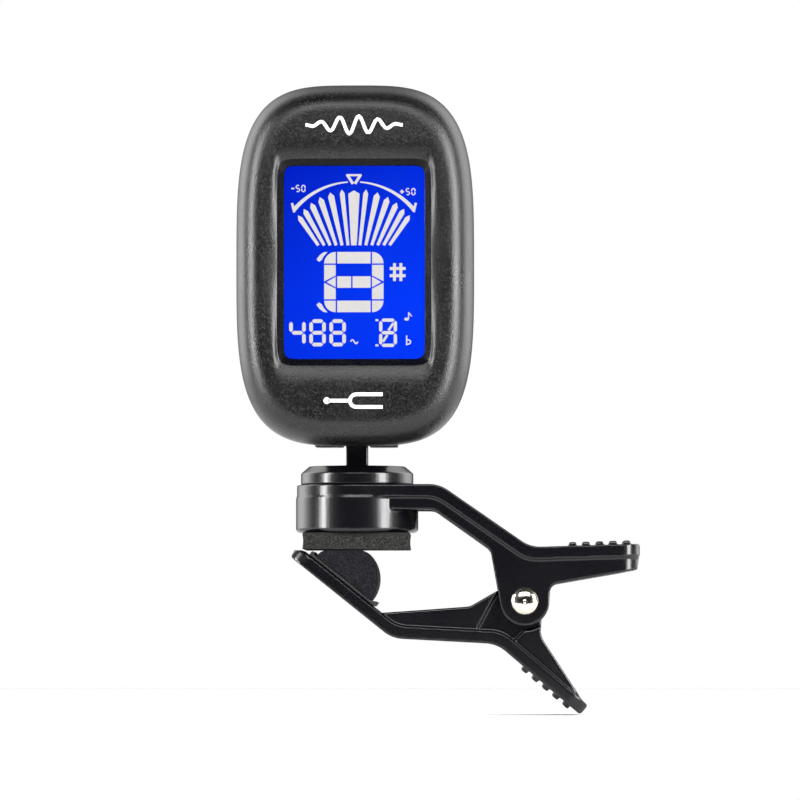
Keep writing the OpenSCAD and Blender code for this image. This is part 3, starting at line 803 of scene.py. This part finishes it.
def fork_mark():
    """A tuning fork lying on its side: the bow, both tines, the handle and its knob."""
    z, stroke = 22.2, 0.55
    bow_x, bow_r, tip_x = -0.6, 0.95, 4.3
    knob_x, knob_r = -4.1, 0.5
    bow_mid = bow_x + bow_r
    bow = ring_bar((bow_mid, z), bow_r, 90, 270, (stroke, stroke), 12)
    tines = [bar((bow_mid, z + off), (tip_x, z + off), stroke) for off in (-bow_r, bow_r)]
    handle = bar((knob_x + 0.2, z), (bow_x + 0.2, z), stroke)
    return [bow, *tines, handle, circle_points((knob_x, z), knob_r, knob_r, 16)]


def build_front_icons(shell):
    """Printed marks: a fading sound wave above the display and a tuning fork below it."""
    depth_at = surface_depth(shell, -1)
    for name, shapes in (("wave_mark", wave_mark()), ("fork_mark", fork_mark())):
        flat_marks(name, shapes, depth_at, FRONT_INK_T, INK, "head")


def power_sign(x, z):
    """An open ring with an upright stroke in its gap."""
    radius, stroke, half_gap = 1.15, 0.36, 35
    ring = ring_bar((x, z), radius, 90 + half_gap, 450 - half_gap, (stroke, stroke))
    return [ring, bar((x, z + 0.3), (x, z + 1.55), stroke)]


def ripple_sign(x, z):
    """Two sine waves, for the pitch."""
    half_len, rise, stroke, steps = 2, 0.9, 0.36, 24
    ripple = ripple_points((x - half_len, z), 2 * half_len, rise, 2, steps)
    return [wave_stroke(ripple[k:k + 3], stroke) for k in range(0, steps, 2)]


def note_sign(x, z):
    """An eighth note, mirrored because it is read from behind."""
    height = 2.6
    return [[Vector((2 * x - p[0], p[1])) for p in shape] for shape in eighth_note(x, z, height)]


def turn_arrow(x, z):
    """An arc over the coin slot, with an arrowhead in the direction that opens the cover."""
    radius, begin, end, stroke = 8.4, 65, 115, 0.35
    head_half_w, head_len = 0.8, 1.4
    turn = math.radians(begin)
    ray = Vector((math.cos(turn), math.sin(turn)))
    along = Vector((ray.y, -ray.x))
    base = Vector((x, z)) + ray * radius
    arc = ring_bar((x, z), radius, begin, end, (stroke, stroke))
    head = [base - ray * head_half_w, base + along * head_len, base + ray * head_half_w]
    return [arc, head]


# The printed sign on each piece of the back, and the piece's material slot
REAR_SIGNS = {
    "power_button": (power_sign, "button_rubber"),
    "pitch_button": (ripple_sign, "button_rubber"),
    "key_button": (note_sign, "button_rubber"),
    "battery_cover": (turn_arrow, "shell_plastic"),
}


def build_rear_signs():
    """Printed signs on the back, each on a piece that is a body of its own and has the body's name."""
    for name, (sign, slot) in REAR_SIGNS.items():
        middle = sum(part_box(name), Vector()) / 2 / MM
        depth_at = surface_depth(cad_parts[name], 1)
        flat_marks(name + "_sign", sign(middle.x, middle.z), depth_at, REAR_INK_T, INK, name, 1)


# ---------- Pads, rivet and spring ----------

PAD_STEPS = (34, 34, 8)  # cuts along X, Y and Z
PAD_EDGE_R = 0.2
PAD_WAIST = 0.16  # how far the sides are drawn in at mid height


def pad_point(unit, half):
    """Where a point of the cube from -1 to 1 goes in the pad: nearer its edges, which are rounded."""
    p = Vector(tuple(u * (1.35 - 0.35 * u * u) * h for u, h in zip(unit, half)))
    limit = [h - PAD_EDGE_R for h in half]
    core = Vector(tuple(max(-far, min(far, x)) for x, far in zip(p, limit)))
    out = p - core
    if out.length > 0:
        p = core + out.normalized() * PAD_EDGE_R
    waist = PAD_WAIST * (1 - (p.z / half.z) ** 2)
    p.x -= math.copysign(waist, p.x) * (abs(p.x) / half.x) ** 6
    p.y -= math.copysign(waist, p.y) * (abs(p.y) / half.y) ** 6
    return p


def build_upper_pad():
    """The fixed pad: a block of foam rubber with soft edges, its sides drawn in a little."""
    lo, hi = (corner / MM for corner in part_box("upper_pad"))
    centre, half = (lo + hi) / 2, (hi - lo) / 2
    made = bmesh.new()
    bmesh.ops.create_cube(made, size=2)
    for axis, cuts in enumerate(PAD_STEPS):
        edges = [e for e in made.edges
                 if abs((e.verts[0].co - e.verts[1].co).normalized()[axis]) > 0.9]
        bmesh.ops.subdivide_edges(made, edges=edges, cuts=cuts, use_grid_fill=True)
    made.verts.index_update()
    verts = [pad_point(v.co, half) + centre for v in made.verts]
    faces = [tuple(v.index for v in f.verts) for f in made.faces]
    made.free()
    pad = piece("fixed_pad", verts, faces, PAD, "clip")
    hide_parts("upper_pad")


# The half-round pad: its slope and radius as in the CAD, and how its shape is softened
JAW_SLOPE = math.radians(38.7)
ROUND_PAD_R = 5.3
ARC_STEPS = 48
CHORD_STEPS = 24
FLAT_SHARPNESS = 5.0  # how tightly the arc turns into the pressed flat, per mm
END_EDGE_R = 0.4


def round_pad_outline(lo, hi):
    """The half disc's outline in (x, z): its arc, cut off softly at the top, and its chord."""
    down = Vector((math.cos(JAW_SLOPE), -math.sin(JAW_SLOPE)))
    up = Vector((math.sin(JAW_SLOPE), math.cos(JAW_SLOPE)))
    # The chord's lower end is the solid's lowest corner
    corner = Vector((lo.x + 2 * ROUND_PAD_R * down.x, lo.z))
    centre = corner - down * ROUND_PAD_R
    outline = []
    for k in range(ARC_STEPS + 1):
        turn = math.pi * k / ARC_STEPS
        p = centre + (down * math.cos(turn) + up * math.sin(turn)) * ROUND_PAD_R
        below = hi.z - p.y
        p.y = hi.z - math.log1p(math.exp(below * FLAT_SHARPNESS)) / FLAT_SHARPNESS
        outline.append(p)
    for k in range(1, CHORD_STEPS):
        outline.append(centre + down * ROUND_PAD_R * (2 * k / CHORD_STEPS - 1))
    return outline


def round_pad_stations(half_len):
    """Places along the pad and how far the outline is drawn in there, which rounds both ends."""
    edge_steps, body_steps = 6, 10
    turns = [math.pi / 2 * k / edge_steps for k in range(edge_steps + 1)]
    start = [(-half_len + END_EDGE_R * (1 - math.cos(t)), END_EDGE_R * (1 - math.sin(t))) for t in turns]
    flat = half_len - END_EDGE_R
    body = [(-flat + 2 * flat * k / body_steps, 0) for k in range(1, body_steps)]
    return start + body + [(-y, inset) for y, inset in start[::-1]]


def build_round_pad():
    """The half-round pad: soft corners, and a blended flat where it presses on the fixed pad."""
    lo, hi = (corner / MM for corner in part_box("round_pad"))
    outline = round_pad_outline(lo, hi)
    stations = round_pad_stations((hi.y - lo.y) / 2)
    middle = sum(outline, Vector((0, 0))) / len(outline)
    verts = []
    for y, inset in stations:
        for p in outline:
            away = middle - p
            q = p + away.normalized() * min(inset, away.length)
            verts.append((q.x, y, q.y))
    faces = ring_faces(len(stations), len(outline))
    pad = piece("moving_pad", verts, faces, ROUND_PAD, "jaw")
    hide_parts("round_pad")


RIVET_R = 1.5
RIVET_RIM = 0.06  # height of a head's straight rim

# The punched dimple in a rivet head: radius, and height as a share of the dome's
DIMPLE = [(0.3, 0.985), (0.24, 0.96), (0.14, 0.93), (0.04, 0.92)]


def rivet_profile(rise, radius):
    """A domed head with a small punched dimple, from its rim to its middle."""
    steps = 16
    profile = [(radius * 0.96, 0.0), (radius, RIVET_RIM)]
    for t in (math.pi / 2 * (1 - k / steps) for k in range(steps - 1)):
        height = rise * math.cos(t)
        profile.append((radius * math.sin(t), height + RIVET_RIM * (1 - height / rise)))
    return profile + [(r, share * rise) for r, share in DIMPLE]


def build_rivet():
    """Both heads of the pivot rivet. The front one and the pin are one piece."""
    cap_lo, cap_hi = (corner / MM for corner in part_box("rivet_cap"))
    mid = (cap_lo + cap_hi) / 2
    rise = cap_hi.y - cap_lo.y
    profile = rivet_profile(rise, (cap_hi.x - cap_lo.x) / 2)
    front_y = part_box("pivot_rivet")[0].y / MM + rise

    rear_verts, rear_faces = lathe(profile, (mid.x, cap_lo.y, mid.z), (0, 1, 0))
    rear = piece("rivet_rear_head", rear_verts, rear_faces, NICKEL, "clip")
    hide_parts("rivet_cap")

    front = (mid.x, front_y, mid.z)
    pin_verts, pin_faces = lathe([(RIVET_R, 0), (RIVET_R, cap_lo.y - front_y)], front, (0, 1, 0))
    head_verts, head_faces = lathe(profile, front, (0, -1, 0))
    faces = pin_faces + [tuple(i + len(pin_verts) for i in face) for face in head_faces]
    rivet = piece("rivet_front_head", pin_verts + head_verts, faces, NICKEL, "clip")
    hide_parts("pivot_rivet")
    for shown in (rear, rivet):
        shown.data.set_sharp_from_angle(angle=math.radians(50))


# The torsion spring, as in the CAD: leg tips in (x, z) from the pivot
PIVOT = Vector((25.6, 0, -7.9))
WIRE_R = 0.45
COIL_R = 2.55
COIL_HALF = 3.4
COIL_TURNS = 5
LEG_UP = (10.2, 6.1)
LEG_DOWN = (4.2, -10.4)


def spring_path():
    """The torsion spring's centre line: a leg under each handle and a coil round the rivet."""
    def tangent(tip, sign):
        """The angle round the coil where a leg from this tip touches it."""
        return math.atan2(tip[1], tip[0]) + sign * math.acos(COIL_R / math.hypot(*tip))

    start, end = tangent(LEG_UP, 1), tangent(LEG_DOWN, -1) + 2 * math.pi * (COIL_TURNS + 1)
    coil = []
    steps, leg_steps = 40 * COIL_TURNS, 8
    for k in range(steps + 1):
        share = k / steps
        turn = start + (end - start) * share
        coil.append(Vector((COIL_R * math.cos(turn), COIL_HALF * (1 - 2 * share), COIL_R * math.sin(turn))))
    leg_up = Vector((LEG_UP[0], COIL_HALF, LEG_UP[1]))
    leg_down = Vector((LEG_DOWN[0], -COIL_HALF, LEG_DOWN[1]))
    ups = [leg_up.lerp(coil[0], k / leg_steps) for k in range(leg_steps)]
    downs = [coil[-1].lerp(leg_down, k / leg_steps) for k in range(1, leg_steps + 1)]
    return [PIVOT + p for p in ups + coil + downs]


def build_spring():
    """The spring's wire along its centre line, on no body."""
    path, sides, inside = spring_path(), 16, 0.1
    last = len(path) - 1
    verts = []
    for i, p in enumerate(path):
        along = (path[min(i + 1, last)] - path[max(i - 1, 0)]).normalized()
        side = along.cross(Vector((0, 1, 0))).normalized()
        up = side.cross(along)
        for k in range(sides):
            turn = 2 * math.pi * k / sides
            verts.append(p + (side * math.cos(turn) + up * math.sin(turn)) * WIRE_R)
    spring = piece("spring_wire", verts, ring_faces(len(path), sides), SPRING, None)
    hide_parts("torsion_spring")
    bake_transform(spring)


# ---------- Studio ----------

# The camera: the point in the picture's middle, the width seen there, distance and direction in degrees
AIM = Vector((6.74, -9.0, 22.6)) * MM
VIEW_SPAN = 121.2 * MM
CAMERA_DISTANCE = 0.9
CAMERA_AZIMUTH = 1.2
CAMERA_ELEVATION = -2.2
SENSOR = 36.0

# Softboxes: direction in degrees of azimuth and elevation, distance, size and watts
SOFTBOXES = {
    "left_strip": (-66, 4, 0.5, (0.09, 0.5), 4.5),
    "right_box": (55, 6, 0.5, (0.16, 0.45), 5),
    "top_box": (0, 33, 0.6, (0.5, 0.22), 2.0),
    "low_box": (0, -25, 0.6, (0.4, 0.1), 0.5),
}


def place_facing(name, data, azimuth, elevation, distance):
    """A new lamp or camera that looks at the object, placed by its direction from it in degrees."""
    a, e = math.radians(azimuth), math.radians(elevation)
    away = Vector((math.sin(a) * math.cos(e), -math.cos(a) * math.cos(e), math.sin(e)))
    shown = bpy.data.objects.new(name, data)
    shown.location = AIM + away * distance
    shown.rotation_mode = "QUATERNION"
    shown.rotation_quaternion = away.to_track_quat("Z", "Y")
    bpy.context.scene.collection.objects.link(shown)
    return shown


def softbox(name, azimuth, elevation, distance, size, watts):
    """A rectangular lamp aimed at the object."""
    lamp = bpy.data.lights.new(name, "AREA")
    lamp.shape = "RECTANGLE"
    lamp.size, lamp.size_y = size
    lamp.energy = watts
    place_facing(name, lamp, azimuth, elevation, distance)


# How bright the surroundings are, from straight in front of the object (-1) round to behind it (1)
SURROUNDINGS = [
    (-1.0, 0.02), (-0.9, 0.06), (-0.7, 0.2), (-0.4, 0.1), (0.05, 0.3), (0.5, 4.6), (0.82, 2.2), (0.94, 0.3),
    (1.0, 0.1),
]

# How bright it is above and below the object, as a share of the brightness at its sides, which starts
# where the sideways part of the direction is SIDE_FROM
ABOVE_AND_BELOW = 0.15
SIDE_FROM = 0.75


def set_ramp(ramp, stops):
    """Fills a colour ramp with greys from (place, level) pairs."""
    while len(ramp.elements) < len(stops):
        ramp.elements.new(0.5)
    for element, (place, level) in zip(ramp.elements, stops):
        element.position = place
        element.color = rgba(level, level, level)


def build_world():
    """Bright surroundings with a dark gap round the camera, as in a light tent with an open front."""
    world = bpy.data.worlds.new("studio")
    bpy.context.scene.world = world
    world.use_nodes = True
    n = Tree(world.node_tree)
    place = n.add("ShaderNodeTexCoord").outputs["Generated"]
    split = n.add("ShaderNodeSeparateXYZ", {"Vector": place}).outputs
    brightest = max(level for _, level in SURROUNDINGS)
    curve = n.add("ShaderNodeValToRGB", {"Fac": n.between(split["Y"], -1, 1, 0, 1)})
    set_ramp(curve.color_ramp, [((y + 1) / 2, level / brightest) for y, level in SURROUNDINGS])
    sideways = n.maths("ABSOLUTE", split["X"])
    dimming = n.between(sideways, 0, SIDE_FROM, brightest * ABOVE_AND_BELOW, brightest)
    level = n.maths("MULTIPLY", curve.outputs["Color"], dimming)
    seen = n.add("ShaderNodeLightPath").outputs["Is Camera Ray"]
    strength = n.add("ShaderNodeMix", {"Factor": seen, "A": level, "B": 1.0}).outputs["Result"]
    background = world.node_tree.nodes["Background"]
    n.put(background.inputs["Strength"], strength)
    n.put(background.inputs["Color"], rgba(1, 1, 1))


def build_floor(lowest):
    """A pale floor under the object's lowest point, short in front and long behind."""
    half, near, room = 0.4, 0.12, 0.0002
    z = lowest - room
    corners = [(-half, -near, z), (half, -near, z), (half, half, z), (-half, half, z)]
    mesh = bpy.data.meshes.new("studio_floor")
    mesh.from_pydata(corners, [], [(0, 1, 2, 3)])
    mesh.materials.append(studio_paper())
    floor = bpy.data.objects.new("studio_floor", mesh)
    bpy.context.scene.collection.objects.link(floor)


def build_camera():
    """A long lens straight in front, a little to the right of the object and below it."""
    camera = bpy.data.cameras.new("camera")
    camera.sensor_width = SENSOR
    camera.lens = SENSOR * CAMERA_DISTANCE / VIEW_SPAN
    camera.clip_start, camera.clip_end = 0.01, 20
    shown = place_facing("camera", camera, CAMERA_AZIMUTH, CAMERA_ELEVATION, CAMERA_DISTANCE)
    bpy.context.scene.camera = shown


def build_studio():
    """Surroundings, floor, softboxes and camera."""
    bpy.context.scene.view_settings.view_transform = "Standard"
    build_world()
    build_floor(cad_box[0].z)
    for name, settings in SOFTBOXES.items():
        softbox(name, *settings)
    build_camera()


dress_cad_nodes()
for node_name, voxel_size in VOXELS.items():
    soften(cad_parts[node_name], voxel_size)
front_casing = build_front_shell()
build_display()
build_front_icons(front_casing)
build_rear_signs()
build_upper_pad()
build_round_pad()
build_rivet()
build_spring()
build_studio()
